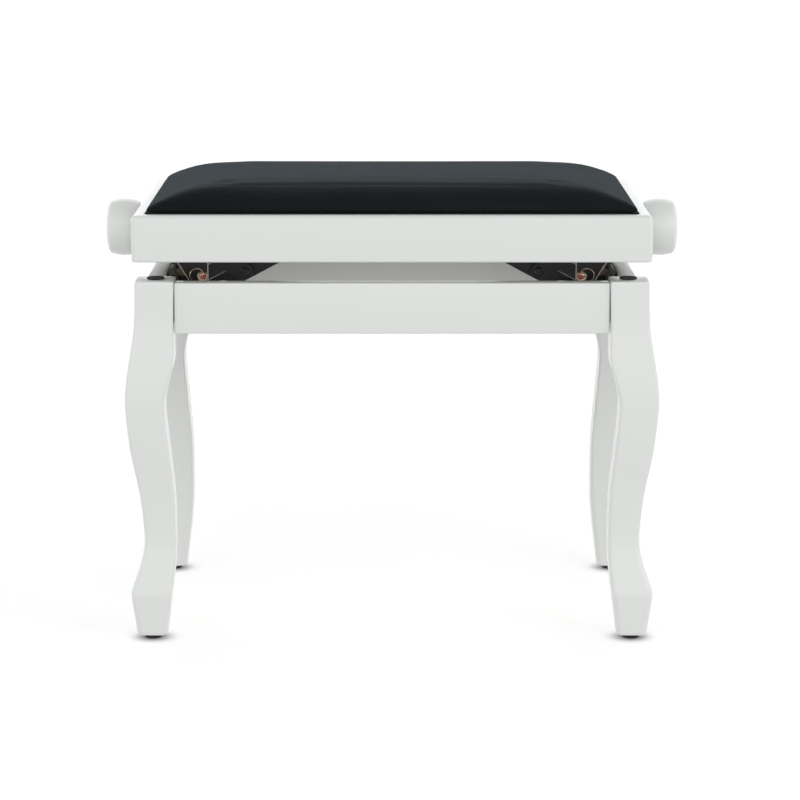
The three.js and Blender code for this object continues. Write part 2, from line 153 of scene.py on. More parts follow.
def black_steel():
    """Black stove enamel on sheet steel, a little dusty and rubbed."""
    s = Surface("black_steel", IOR=1.45, Coat_Weight=0.1, Coat_Roughness=0.3)
    dust = s.noise(30, detail=6)
    scratch = s.noise(300, (0.08, 1, 1), detail=3)
    tone = s.ramp(dust, (0.35, (0.0045, 0.0045, 0.005)), (0.8, (0.014, 0.0135, 0.013)))
    s.set("Base Color", s.mix(s.ramp(scratch, (0.68, 0.0), (0.76, 0.4)), tone, (0.05, 0.05, 0.052)))
    s.set("Roughness", s.ramp(dust, (0.3, 0.32), (0.75, 0.55)))
    s.bump((s.noise(600, detail=3), 0.15, 0.0001))
    return s.material


def bare_edge_with_painted_highlight():
    """Bare sheared edge of the black sheet steel, drawn a plain light grey without metal sheen: partly a
    painted highlight that keeps the edges light in the shade under the seat.
    """
    s = Surface("bare_edge_with_painted_highlight", IOR=1.5)
    lines = s.noise(500, (1, 1, 0.2), detail=3)
    s.set("Base Color", s.ramp(lines, (0.35, (0.42, 0.42, 0.43)), (0.7, (0.62, 0.62, 0.63))))
    s.set("Roughness", s.ramp(lines, (0.3, 0.5), (0.7, 0.32)))
    s.bump((lines, 0.2, 0.0001))
    return s.material


def paint_mark():
    """Red locking paint dabbed on the end of a bolt."""
    s = Surface("red_locking_paint", IOR=1.5)
    blot = s.noise(500, detail=3)
    s.set("Base Color", s.ramp(blot, (0.3, (0.46, 0.07, 0.11)), (0.7, (0.66, 0.17, 0.22))))
    s.set("Roughness", s.ramp(blot, (0.3, 0.3), (0.7, 0.5)))
    s.bump((blot, 0.4, 0.0002))
    return s.material


def bright_steel():
    """Turned mild steel with a film of oil."""
    s = Surface("bright_steel", Metallic=1.0)
    lines = s.noise(500, detail=2)
    stain = s.noise(40, detail=5)
    s.set("Base Color", s.ramp(stain, (0.3, (0.40, 0.39, 0.38)), (0.7, (0.60, 0.60, 0.59))))
    s.set("Roughness", s.ramp(stain, (0.3, 0.42), (0.7, 0.26)))
    s.bump((lines, 0.12, 0.00005))
    return s.material


def yellow_zinc():
    """Yellow-passivated zinc: straw with pink and green where the film changes thickness."""
    s = Surface("yellow_zinc", Metallic=1.0)
    film = s.noise(110, detail=2)
    s.set("Base Color", s.ramp(film, (0.32, (0.80, 0.70, 0.36)), (0.47, (0.84, 0.74, 0.50)),
                               (0.58, (0.86, 0.55, 0.50)), (0.68, (0.62, 0.74, 0.42))))
    s.set("Roughness", s.ramp(s.noise(250, detail=3), (0.3, 0.22), (0.7, 0.36)))
    s.bump((s.noise(700, detail=2), 0.1, 0.00005))
    return s.material


def rubber():
    """Matt black moulded rubber."""
    s = Surface("black_rubber", IOR=1.5)
    grain = s.noise(900, detail=2)
    s.set("Base Color", s.ramp(s.noise(60, detail=4), (0.3, 0.012), (0.7, 0.026)))
    s.set("Roughness", s.ramp(grain, (0.3, 0.7), (0.7, 0.88)))
    s.bump((grain, 0.2, 0.0001))
    return s.material


def bare_wood(name, along, light, dark, plies=False):
    """Unfinished wood with its grain along one axis; plies adds the layers that show on an edge."""
    s = Surface(name, Roughness=0.72, IOR=1.45)
    grain = s.noise(120, GRAIN[along], detail=6, roughness=0.65)
    figure = s.noise(14, GRAIN[along], detail=3)
    colour = s.mix(s.ramp(grain, (0.35, 0.0), (0.7, 1.0)), light, dark)
    colour = s.mix(s.ramp(figure, (0.4, 0.0), (0.7, 0.35)), colour, dark)
    if plies:
        wave = s.node("ShaderNodeTexWave", Vector=s.place, Scale=100.0, Distortion=0.4, Detail=1.0)
        wave.bands_direction = "Z"
        facing = s.node("ShaderNodeNewGeometry").outputs["Normal"]
        split = s.node("ShaderNodeSeparateXYZ", Vector=facing)
        level = s.tree.nodes.new("ShaderNodeMath")
        level.operation = "ABSOLUTE"
        s.feed(level.inputs[0], split.outputs["Z"])
        edge = s.ramp(level.outputs[0], (0.2, 0.75), (0.4, 0.0))
        layers = s.mix(wave.outputs["Fac"], light, tuple(0.45 * c for c in dark))
        colour = s.mix(edge, colour, layers)
    s.set("Base Color", colour)
    s.bump((grain, 0.3, 0.0002))
    return s.material


LACQUER = {axis: lacquer(f"white_lacquer_{axis}", axis) for axis in "xyz"}
VELVET = velvet()
BLACK_STEEL = black_steel()
BARE_EDGE_WITH_PAINTED_HIGHLIGHT = bare_edge_with_painted_highlight()
PAINT_MARK = paint_mark()
BRIGHT_STEEL = bright_steel()
YELLOW_ZINC = yellow_zinc()
RUBBER = rubber()
PLYWOOD = bare_wood("birch_plywood", "x", (0.58, 0.52, 0.44), (0.46, 0.39, 0.31), plies=True)
# The braces' beech is a darker brown than the plain wood, partly painted shade for their place deep under the
# seat.
BEECH_WITH_PAINTED_SHADE = bare_wood("beech_with_painted_shade", "x", (0.40, 0.29, 0.20), (0.27, 0.19, 0.13))


# ---------- mesh helpers ----------

def mesh_of(verts, faces):
    mesh = bpy.data.meshes.new("mesh")
    mesh.from_pydata([tuple(v) for v in verts], [], [tuple(f) for f in faces])
    mesh.validate()
    return mesh


def outward(mesh):
    """Turns every face of a closed mesh to face out."""
    made = bmesh.new()
    made.from_mesh(mesh)
    bmesh.ops.recalc_face_normals(made, faces=made.faces)
    made.to_mesh(mesh)
    made.free()


def piece(name, mesh, material, body, sharp=30, mirror=(1, 1), stands_for=()):
    """Turns a mesh into a finished piece that rides on a body; mirror flips it over X, Y or both.
    A black steel piece also gets the finish of its bare cut edges, partly a painted highlight, for the faces
    that plate() marks."""
    obj = bpy.data.objects.new(name, mesh.copy())
    scene.collection.objects.link(obj)
    obj.data.transform(Matrix.Diagonal((mirror[0], mirror[1], 1, 1)))
    outward(obj.data)
    obj.data.materials.append(material)
    if material is BLACK_STEEL:
        obj.data.materials.append(BARE_EDGE_WITH_PAINTED_HIGHLIGHT)
    obj.data.shade_smooth()
    obj.data.set_sharp_from_angle(angle=math.radians(sharp))
    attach(obj, body)
    if stands_for:
        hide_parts(*stands_for)
    return obj


def fine(node, mesh, material, body, sharp=30, mirror=(1, 1)):
    """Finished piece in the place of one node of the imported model."""
    return piece(f"fine_{node}", mesh, material, body, sharp, mirror, [node])


def loft(rings):
    """Closed skin through rings of equal point count, the first and last closed by a flat face."""
    count = len(rings[0])
    faces = []
    for level in range(len(rings) - 1):
        low = level * count
        for i in range(count):
            j = (i + 1) % count
            faces.append((low + i, low + j, low + count + j, low + count + i))
    last = (len(rings) - 1) * count
    faces.append(tuple(reversed(range(count))))
    faces.append(tuple(range(last, last + count)))
    return mesh_of([p for ring in rings for p in ring], faces)


def tube(rings):
    """Skin through rings of equal point count, the last joined to the first."""
    count, total = len(rings[0]), len(rings)
    faces = []
    for level in range(total):
        low, high = level * count, (level + 1) % total * count
        for i in range(count):
            j = (i + 1) % count
            faces.append((low + i, high + i, high + j, low + j))
    return mesh_of([p for ring in rings for p in ring], faces)


def rounded_ring(x, y, z, half_x, half_y, radius, per_corner, per_side=1):
    """Rounded rectangle at height z, counter-clockwise seen from above."""
    ring = []
    corners = ((1, 1), (-1, 1), (-1, -1), (1, -1))
    for k, (sx, sy) in enumerate(corners):
        cx, cy = x + sx * (half_x - radius), y + sy * (half_y - radius)
        for i in range(per_corner):
            angle = (k + i / (per_corner - 1)) * math.pi / 2
            ring.append(Vector((cx + radius * math.cos(angle), cy + radius * math.sin(angle), z)))
        nx, ny = corners[(k + 1) % 4]
        angle = (k + 1) * math.pi / 2
        goal = Vector((x + nx * (half_x - radius) + radius * math.cos(angle),
                       y + ny * (half_y - radius) + radius * math.sin(angle), z))
        start = ring[-1]
        ring += [start.lerp(goal, i / per_side) for i in range(1, per_side)]
    return ring


def turned(profile, axis="y", at=(0, 0, 0), sides=48):
    """Solid of revolution from (radius, place) pairs; a profile that keeps off the axis makes a ring."""
    tiny = 1e-5
    rings = []
    for radius, place in profile:
        ring = []
        for i in range(sides):
            angle = 2 * math.pi * i / sides
            across, up = max(radius, tiny) * math.cos(angle), max(radius, tiny) * math.sin(angle)
            point = {"x": (place, across, up), "y": (up, place, across), "z": (across, up, place)}[axis]
            ring.append(Vector(point) + Vector(at))
        rings.append(ring)
    on_axis = min(profile[0][0], profile[-1][0]) < tiny
    return loft(rings) if on_axis else tube(rings)


def steps_from(start, way, rows):
    """Profile for turned() from rows of (radius, distance from start) in mm; way is 1 or -1."""
    return [(radius * MM, start + way * distance * MM) for radius, distance in rows]


def arc(cx, cy, radius, start, end, steps):
    """Points on an arc, angles in degrees."""
    angles = [math.radians(start + (end - start) * i / steps) for i in range(steps + 1)]
    return [(cx + radius * math.cos(a), cy + radius * math.sin(a)) for a in angles]


def plate(outline, holes, near, far, edge=0.4 * MM, bare_edges_with_painted_highlight=True):
    """Sheet-metal piece: an outline and holes in X and Z, thick in Y from near to far, with broken edges.
    Its last flag marks its edges as cut after painting, in a bare finish that is partly a painted highlight."""
    curve = bpy.data.curves.new("plate", "CURVE")
    curve.dimensions = "2D"
    curve.fill_mode = "BOTH"
    for loop in [outline, *holes]:
        spline = curve.splines.new("POLY")
        spline.points.add(len(loop) - 1)
        for point, (x, z) in zip(spline.points, loop):
            point.co = (x, z, 0, 1)
        spline.use_cyclic_u = True
    curve.extrude = abs(far - near) / 2 - edge
    curve.bevel_depth = edge
    curve.offset = -edge
    curve.bevel_resolution = 2
    holder = bpy.data.objects.new("plate", curve)
    scene.collection.objects.link(holder)
    mesh = bpy.data.meshes.new_from_object(holder.evaluated_get(bpy.context.evaluated_depsgraph_get()))
    bpy.data.objects.remove(holder)
    mesh.transform(Matrix.Translation((0, (near + far) / 2, 0)) @ Matrix.Rotation(math.pi / 2, 4, "X"))
    for polygon in mesh.polygons:
        polygon.material_index = int(bare_edges_with_painted_highlight and abs(polygon.normal.y) < 0.98)
    return mesh


def joined(*meshes):
    made = bmesh.new()
    for mesh in meshes:
        made.from_mesh(mesh)
    whole = bpy.data.meshes.new("joined")
    made.to_mesh(whole)
    made.free()
    return whole


def box_mesh(low, high, edge, segments=3):
    """Box with rounded edges."""
    made = bmesh.new()
    bmesh.ops.create_cube(made, size=1)
    middle, size = (Vector(low) + Vector(high)) / 2, Vector(high) - Vector(low)
    for v in made.verts:
        v.co = Vector(c * s for c, s in zip(v.co, size)) + middle
    bmesh.ops.bevel(made, geom=made.edges[:], offset=edge, segments=segments, profile=0.5, affect="EDGES")
    mesh = bpy.data.meshes.new("box")
    made.to_mesh(mesh)
    made.free()
    return mesh


# ---------- legs, pads, bumpers and their bolts ----------

LEG_SIZE = 41.5 * MM
LEG_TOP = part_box("leg_front_left")[1].z
LEG_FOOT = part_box("leg_front_left")[0].z
LEG_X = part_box("apron_front")[1].x + GAP + LEG_SIZE / 2
LEG_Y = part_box("apron_right")[1].y + GAP + LEG_SIZE / 2
# Bow of a leg: height, then how far the outer and inner faces stand outward of those at the top, in mm.
# The last row is the ridge of the foot.
LEG_BOW = [(393, 0, 0), (345, 1.4, 1), (308, 6.8, 1.2), (286, 10, 6.6), (258, 11.3, 11.3), (210, 6.9, 7.4),
           (160, -1.6, 2.8), (112, -5.7, 2.1), (86, -2, 2.7), (54, 9.2, 5.8)]
# How far the faces stand outward at the floor, in mm.
LEG_END = (2.9, 12)
LEG_STEPS = 90
LEG_RIM = 1.6 * MM
# Radius of the upright edges at the top and at the floor.
LEG_EDGE = (2.6 * MM, 7.5 * MM)
FOOT_STEPS = 16
# How often the ridge is evened out, and how far from it, in mm.
RIDGE_WEAR = 6
RIDGE_REACH = 14


def along_curve(points, t):
    """Point at t, from 0 to 1, on a smooth curve through the points."""
    place = t * (len(points) - 1)
    k = min(int(place), len(points) - 2)
    u = place - k
    a, b, c, d = (Vector(points[max(0, min(len(points) - 1, k + i))]) for i in (-1, 0, 1, 2))
    return 0.5 * (2 * b + (c - a) * u + (2 * a - 5 * b + 4 * c - d) * u ** 2
                  + (3 * b - a - 3 * c + d) * u ** 3)


def leg_ring(z, outer, inner, shrink=0.0):
    """Section of a leg; its upright edges are crisp at the top and get rounder towards the foot."""
    centre = (outer + inner) / 2 * MM
    half = LEG_SIZE / 2 + (outer - inner) / 2 * MM
    radius = LEG_EDGE[0] + (LEG_EDGE[1] - LEG_EDGE[0]) * (1 - z / LEG_TOP) ** 2
    return rounded_ring(-LEG_X - centre, -LEG_Y - centre, z, half - shrink, half - shrink, radius, 7, 5)


def leg_rows():
    """Height, outer and inner bow of a leg from the foot up, in mm, the ridge of the foot worn round."""
    end, ridge = Vector(LEG_END), Vector(LEG_BOW[-1][1:])
    foot, crest = LEG_FOOT / MM, LEG_BOW[-1][0]
    rows = []
    for i in range(FOOT_STEPS):
        t = i / FOOT_STEPS
        rows.append((foot + (crest - foot) * t, *end.lerp(ridge, t)))
    rows += [tuple(along_curve(LEG_BOW, i / LEG_STEPS)) for i in range(LEG_STEPS, 0, -1)]
    for _ in range(RIDGE_WEAR):
        worn = list(rows)
        for i in range(1, len(rows) - 1):
            below, here, above = rows[i - 1:i + 2]
            if abs(here[0] - crest) < RIDGE_REACH:
                worn[i] = (here[0], *((below[k] + 2 * here[k] + above[k]) / 4 for k in (1, 2)))
        rows = worn
    return rows


def leg_mesh():
    rows = leg_rows()
    low = rows[0][1:]
    foot = [leg_ring(LEG_FOOT, *low, LEG_RIM), leg_ring(LEG_FOOT + 0.4 * MM, *low, 0.5 * MM),
            leg_ring(LEG_FOOT + 1.5 * MM, *low)]
    shaft = [leg_ring(z * MM, outer, inner) for z, outer, inner in rows[1:]]
    top = [leg_ring(LEG_TOP - LEG_RIM, 0, 0), leg_ring(LEG_TOP - 0.5 * MM, 0, 0, 0.4 * MM),
           leg_ring(LEG_TOP, 0, 0, LEG_RIM)]
    return loft(foot + shaft + top)


def disc_mesh(node, edge):
    """Upright disc in the place of a CAD disc, with rounded rims."""
    low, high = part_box(node)
    radius, height = (high.x - low.x) / 2, high.z - low.z
    profile = [(0, 0), *arc(radius - edge, edge, edge, -90, 0, 5),
               *arc(radius - edge, height - edge, edge, 0, 90, 5), (0, height)]
    return turned(profile, "z", ((low.x + high.x) / 2, (low.y + high.y) / 2, low.z))


leg = leg_mesh()
for corner, sign in CORNERS.items():
    fine(f"leg_{corner}", leg, LACQUER["z"], "base", 40, sign)
    for kind, edge in (("foot_pad", 1.0 * MM), ("leg_top_bumper", 1.1 * MM)):
        node = f"{kind}_{corner}"
        fine(node, disc_mesh(node, edge), RUBBER, "base", 50)

# A bolt runs from each leg through its corner brace; distances are from the leg's inner corner.
BRACE_REACH = 25.5 * MM
BOLT_Z = 353 * MM
BOLT_R = 4 * MM
BOLT_SUNK = 12 * MM
THREAD_END = BRACE_REACH + 10 * MM
WASHER_R = 9 * MM
WASHER_FACE = BRACE_REACH + 1.6 * MM
NUT_ACROSS = 13 * MM
NUT_FACE = BRACE_REACH + 7 * MM
corner_x, corner_y = -LEG_X + LEG_SIZE / 2, -LEG_Y + LEG_SIZE / 2


def threaded(radius, low, high, pitch=1.25 * MM, depth=0.6 * MM):
    """Profile of a threaded stretch, from low to high, as rings of a groove and a crest."""
    count = int((high - low) / pitch)
    rows = []
    for i in range(count):
        rows += [(radius - depth, low + i * pitch), (radius, low + (i + 0.4) * pitch),
                 (radius, low + (i + 0.6) * pitch)]
    return rows + [(radius - depth, high)]


def hex_nut(across, low, high, bore, edge=0.5 * MM):
    """Hexagonal nut about Y, its rims broken where a turned cone meets the flats."""
    flat = across / 2
    corner = flat / math.cos(math.radians(30))
    sides, rings = 48, []
    rim = 0.97 * flat
    levels = ((low, bore), (low, rim), (low + edge, corner),
              (high - edge, corner), (high, rim), (high, bore))
    for place, limit in levels:
        ring = []
        for i in range(sides):
            angle = 2 * math.pi * i / sides
            off = (math.degrees(angle) + 30) % 60 - 30
            radius = min(limit, flat / math.cos(math.radians(off)))
            ring.append((radius * math.sin(angle), place, radius * math.cos(angle)))
        rings.append(ring)
    return tube(rings)


def leg_bolt_mesh():
    """Bolt, washer and nut, square to the corner brace of the front left leg."""
    tip = THREAD_END + 1 * MM
    washer_bore = BOLT_R + 0.2 * MM
    mesh = joined(
        turned([(0, -BOLT_SUNK), (BOLT_R, -BOLT_SUNK), (BOLT_R, BRACE_REACH),
                *threaded(BOLT_R, BRACE_REACH, THREAD_END), (BOLT_R - 1 * MM, tip), (0, tip)]),
        turned([(washer_bore, BRACE_REACH + GAP), (WASHER_R, BRACE_REACH + GAP), (WASHER_R, WASHER_FACE),
                (washer_bore, WASHER_FACE)]),
        hex_nut(NUT_ACROSS, WASHER_FACE + 0.1 * MM, NUT_FACE, BOLT_R - 0.1 * MM))
    mesh.transform(Matrix.Translation((corner_x, corner_y, BOLT_Z)) @ Matrix.Rotation(-math.pi / 4, 4, "Z"))
    return mesh


leg_bolt = leg_bolt_mesh()
for corner, sign in CORNERS.items():
    fine(f"leg_bolt_{corner}", leg_bolt, BRIGHT_STEEL, "base", mirror=sign)

# ---------- aprons and corner braces ----------

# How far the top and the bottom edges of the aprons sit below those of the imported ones.
APRON_DROP = (1 * MM, 1.5 * MM)
APRON_EDGE = 1.4 * MM

for name, axis in (("front", "x"), ("rear", "x"), ("left", "y"), ("right", "y")):
    low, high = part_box(f"apron_{name}")
    top_drop, bottom_drop = (Vector((0, 0, drop)) for drop in APRON_DROP)
    fine(f"apron_{name}", box_mesh(low - bottom_drop, high - top_drop, APRON_EDGE, 4), LACQUER[axis], "base")


def prism(plan, low, high, edge):
    """Upright prism over a plan, with broken edges."""
    made = bmesh.new()
    floor_face = made.faces.new([made.verts.new((x, y, low)) for x, y in plan])
    wall = bmesh.ops.extrude_face_region(made, geom=[floor_face])
    for element in wall["geom"]:
        if isinstance(element, bmesh.types.BMVert):
            element.co.z = high
    bmesh.ops.recalc_face_normals(made, faces=made.faces)
    bmesh.ops.bevel(made, geom=made.edges[:], offset=edge, segments=2, profile=0.5, affect="EDGES")
    mesh = bpy.data.meshes.new("prism")
    made.to_mesh(mesh)
    made.free()
    return mesh


BRACE_T = 11 * MM
BRACE_EDGE = 0.6 * MM


def brace_mesh():
    """Brace across the front left corner, its ends cut to lie on the two aprons."""
    low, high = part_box("corner_brace_front_left")
    far, near = (distance * math.sqrt(2) for distance in (BRACE_REACH, BRACE_REACH - BRACE_T))
    corner = corner_x + corner_y
    plan = [(low.x, corner + far - low.x), (low.x, corner + near - low.x),
            (corner + near - low.y, low.y), (corner + far - low.y, low.y)]
    return prism(plan, low.z, high.z, BRACE_EDGE)


brace = brace_mesh()
for corner, sign in CORNERS.items():
    fine(f"corner_brace_{corner}", brace, BEECH_WITH_PAINTED_SHADE, "base", mirror=sign)

# ---------- seat frame and board ----------

SEAT_T = 22 * MM
SEAT_LIP = 13.5 * MM
REBATE = 10 * MM
TOP_EDGE = 6 * MM
LOW_EDGE = 2.5 * MM
CORNER_R = 5 * MM
seat_low, seat_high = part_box("seat_rail_front")
side_low, side_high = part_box("seat_rail_right")
SEAT_X, SEAT_Y = seat_high.x + GAP / 2, side_high.y + GAP / 2
SEAT_BOTTOM, SEAT_TOP = seat_low.z, seat_high.z


def rail_profile():
    """Section of a seat rail as (setback from the outer face, height above the floor)."""
    h = SEAT_TOP - SEAT_BOTTOM
    lip = 1 * MM
    rows = arc(LOW_EDGE, LOW_EDGE, LOW_EDGE, 180, 270, 5)
    rows += arc(SEAT_T - lip, lip, lip, 270, 360, 3)
    rows += [(SEAT_T, h - REBATE), (SEAT_LIP, h - REBATE)]
    rows += arc(SEAT_LIP - lip, h - lip, lip, 0, 90, 3)
    rows += arc(TOP_EDGE, h - TOP_EDGE, TOP_EDGE, 90, 180, 9)
    return [(back, SEAT_BOTTOM + up) for back, up in rows]


def rail_mesh(half_length, distance):
    """Front rail of a rectangular frame, mitred at both ends, the outer upright corners rounded."""
    rings = []
    steps = 8
    for end in (-1, 1):
        for i in range(steps + 1):
            t = i / steps if end < 0 else 1 - i / steps
            angle = math.radians(45 + 45 * t)
            ring = []
            for back, z in rail_profile():
                radius = max(CORNER_R - back, 0)
                inner = max(back, CORNER_R)
                y = distance - inner + radius * math.sin(angle)
                x = half_length - inner + radius * math.cos(angle)
                ring.append((end * x, -y, z))
            rings.append(ring)
    return loft(rings)


front_rail = rail_mesh(SEAT_X, SEAT_Y)
side_rail = rail_mesh(SEAT_Y, SEAT_X)
side_rail.transform(Matrix.Rotation(-math.pi / 2, 4, "Z"))
for name, mesh, sign in (("front", front_rail, (1, 1)), ("rear", front_rail, (1, -1)),
                         ("left", side_rail, (1, 1)), ("right", side_rail, (-1, 1))):
    axis = "x" if mesh is front_rail else "y"
    fine(f"seat_rail_{name}", mesh, LACQUER[axis], "seat", mirror=sign)

board_low, board_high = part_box("seat_board")
# The cover laps the edge of the board, which is cut back by its thickness.
COVER_T = 1.2 * MM
BOARD_EDGE = 0.6 * MM
HEM_CORNER = 2 * MM
# Section of the lap: from which face of the board, how far above it, and how far out from its edge, in mm.
HEM_ROWS = [("top", -1, -9), ("top", 0.6, -8), ("top", 1.4, -1.2), ("top", 0.9, -0.2), ("top", -0.5, 0.1),
            ("under", 0.4, 0.1), ("under", -0.3, -0.6), ("under", -0.5, -6), ("under", 0.5, -6.5)]
inset = Vector((COVER_T, COVER_T, 0))
fine("seat_board", box_mesh(board_low + inset, board_high - inset, BOARD_EDGE, 2), PLYWOOD, "seat")


def hem_mesh():
    rings = []
    for face, up, out in HEM_ROWS:
        level = board_high.z if face == "top" else board_low.z
        rings.append(rounded_ring(0, 0, level + up * MM, board_high.x + out * MM, board_high.y + out * MM,
                                  HEM_CORNER, 6))
    return tube(rings)


piece("cushion_hem", hem_mesh(), VELVET, "seat", 60)

# ---------- cushion ----------

# Height above the foot, how far the ends and the front and back stand in, and the corner radius, in mm.
CUSHION_SHAPE = [(0, 1, 0.6, 6), (3, -0.6, -0.8, 7), (7, 5.3, 1.5, 8), (11, 12.2, 4.6, 9), (15, 21, 9, 11),
                 (18.5, 30, 14.5, 13), (21, 37.5, 19.5, 15), (23, 44.5, 25, 18), (24.8, 53.5, 32, 21),
                 (26.2, 63.5, 40.5, 24), (27.2, 76, 50, 28), (27.9, 92, 64, 32), (28.4, 124, 90, 34),
                 (28.6, 190, 128, 20)]
cushion_low, cushion_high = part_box("cushion")
CUSHION_FOOT = cushion_low.z
CUSHION_STEPS = 72
# The cloth starts this far inside the finished shape. It is held up to a line above the foot, and moves
# no further than its cap.
CUSHION_START = 0.5 * MM
CLOTH_HELD = 5 * MM
CLOTH_CAP = 0.8 * MM
CLOTH_PRESSURE = 1.2
CLOTH_FRAMES = 20
CLOTH_GRID = 4 * MM
SWELL_EVENING = 12
SMOOTHING = 3


def cushion_form(shrink):
    """Closed starting shape of the cushion, a little inside its final one."""
    rings = []
    for i in range(CUSHION_STEPS + 1):
        t = i / CUSHION_STEPS
        up, end_inset, side_inset, radius = curve_4(CUSHION_SHAPE, t)
        # A little out at the foot and in higher up, to leave room for the swelling.
        inward = shrink * min(1.0, 6 * t - 1)
        rings.append(rounded_ring(0, 0, CUSHION_FOOT + up * MM - max(inward, 0),
                                  cushion_high.x - inward - end_inset * MM,
                                  cushion_high.y - inward - side_inset * MM, radius * MM, 8, 12))
    return loft(rings)


def curve_4(rows, t):
    """along_curve for rows of four numbers."""
    first = along_curve([row[:2] for row in rows], t)
    second = along_curve([row[2:] for row in rows], t)
    return (*first, *second)


def modified(obj, kind, **settings):
    """Adds a modifier to an object and applies it at once."""
    modifier = obj.modifiers.new(kind.lower(), kind)
    for key, value in settings.items():
        setattr(modifier, key, value)
    view = bpy.context.evaluated_depsgraph_get()
    mesh = bpy.data.meshes.new_from_object(obj.evaluated_get(view))
    obj.modifiers.clear()
    obj.data = mesh


def inflate(obj, held):
    """Blows a closed mesh up like tight cloth, holding the points that held() picks."""
    start = [v.co.copy() for v in obj.data.vertices]
    group = obj.vertex_groups.new(name="pin")
    group.add([v.index for v in obj.data.vertices if held(v.co)], 1.0, "REPLACE")
    cloth = obj.modifiers.new("cloth", "CLOTH")
    settings = cloth.settings
    settings.quality = 6
    settings.mass = 0.3
    settings.tension_stiffness = settings.compression_stiffness = 30
    settings.shear_stiffness = 12
    settings.bending_stiffness = 6
    settings.use_pressure = True
    settings.uniform_pressure_force = CLOTH_PRESSURE
    settings.vertex_group_mass = "pin"
    settings.effector_weights.gravity = 0
    cloth.collision_settings.use_collision = False
    cloth.point_cache.frame_start = 1
    cloth.point_cache.frame_end = CLOTH_FRAMES
    for frame_number in range(1, CLOTH_FRAMES + 1):
        scene.frame_set(frame_number)
    view = bpy.context.evaluated_depsgraph_get()
    mesh = bpy.data.meshes.new_from_object(obj.evaluated_get(view))
    obj.modifiers.clear()
    obj.vertex_groups.clear()
    swell_only(mesh, start, CLOTH_CAP)
    obj.data = mesh
    scene.frame_set(1)


def swell_only(mesh, start, cap):
    """Keeps of each move the part along the start's normal, evened out, never inward and at most cap."""
    moved = [v.co.copy() for v in mesh.vertices]
    for vertex, old in zip(mesh.vertices, start):
        vertex.co = old
    normals = [n.vector.copy() for n in mesh.vertex_normals]
    swell = [(new - old).dot(n) for new, old, n in zip(moved, start, normals)]
    pairs = [tuple(edge.vertices) for edge in mesh.edges]
    degree = [0] * len(swell)
    for a, b in pairs:
        degree[a] += 1
        degree[b] += 1
    for _ in range(SWELL_EVENING):
        total = [0.0] * len(swell)
        for a, b in pairs:
            total[a] += swell[b]
            total[b] += swell[a]
        swell = [0.5 * s + 0.5 * t / max(d, 1) for s, t, d in zip(swell, total, degree)]
    for vertex, n, s in zip(mesh.vertices, normals, swell):
        vertex.co += n * min(max(s, 0.0), cap)


def cushion_mesh():
    holder = bpy.data.objects.new("cushion_form", cushion_form(CUSHION_START))
    scene.collection.objects.link(holder)
    modified(holder, "REMESH", mode="VOXEL", voxel_size=CLOTH_GRID, use_smooth_shade=True)
    inflate(holder, lambda co: co.z < CUSHION_FOOT + CLOTH_HELD)
    modified(holder, "SMOOTH", factor=0.5, iterations=SMOOTHING)
    modified(holder, "SUBSURF", levels=1)
    mesh = holder.data.copy()
    bpy.data.objects.remove(holder)
    return mesh


cushion = fine("cushion", cushion_mesh(), VELVET, "seat", 80)

# ---------- screw, bushings, knobs and nuts ----------

SCREW_Z = 430 * MM
SCREW_R = 6 * MM
SCREW_LEAD = 5 * MM
# How far from the middle of the seat the thread starts and ends.
THREAD_SPAN = (20 * MM, 235 * MM)
THREAD_DEPTH = 1.1 * MM
# Half of the thread's crest and one flank, as shares of a turn.
CREST_HALF = 0.12
FLANK = 0.14
screw_low, screw_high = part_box("screw")


def screw_mesh():
    """Screw with a thread of opposite hand on each half."""
    sides, step = 32, 0.5 * MM
    count = round((screw_high.x - screw_low.x) / step)
    rings = []
    for i in range(count + 1):
        x = screw_low.x + (screw_high.x - screw_low.x) * i / count
        threaded_here = THREAD_SPAN[0] < abs(x) < THREAD_SPAN[1]
        ring = []
        for k in range(sides):
            angle = 2 * math.pi * k / sides
            turn = (abs(x) / SCREW_LEAD + k / sides) % 1
            depth = max(0.0, min(1.0, (abs(turn - 0.5) - CREST_HALF) / FLANK)) if threaded_here else 0
            radius = SCREW_R - depth * THREAD_DEPTH
            ring.append((x, radius * math.cos(angle), SCREW_Z + radius * math.sin(angle)))
        rings.append(ring)
    return loft(rings)


fine("screw", screw_mesh(), BRIGHT_STEEL, "screw", 40)

BUSH_R = 9 * MM
FLANGE_R = 14 * MM
FLANGE_T = 3 * MM
FLANGE_EDGE = 0.6 * MM


def bushing_mesh():
    """Flanged bushing in the left seat rail."""
    bore, face, back = SCREW_R + GAP, -SEAT_X, -SEAT_X + SEAT_T
    return turned([(bore, face - FLANGE_T), (FLANGE_R - FLANGE_EDGE, face - FLANGE_T),
                   (FLANGE_R, face - FLANGE_T + FLANGE_EDGE), (FLANGE_R, face - GAP), (BUSH_R, face - GAP),
                   (BUSH_R, back), (bore, back)], "x", (0, 0, SCREW_Z))


KNOB_R = 31.6 * MM
# Where along the knob it is thickest, as a share of its length, and how fast it thins from there, per metre.
KNOB_BELLY = 0.46
KNOB_TAPER = 11.5
KNOB_RIM = 1.5 * MM
KNOB_BACK_FLAT = 4 * MM
KNOB_SHOULDER = 9 * MM
KNOB_DOME = 1.2 * MM
knob_low, knob_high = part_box("knob_right")
KNOB_IN, KNOB_OUT = knob_low.x, knob_high.x
KNOB_LENGTH = KNOB_OUT - KNOB_IN


def barrel(place):
    """Radius of the knob's barrel at a distance from its back."""
    return KNOB_R - KNOB_TAPER * (place - KNOB_BELLY * KNOB_LENGTH) ** 2


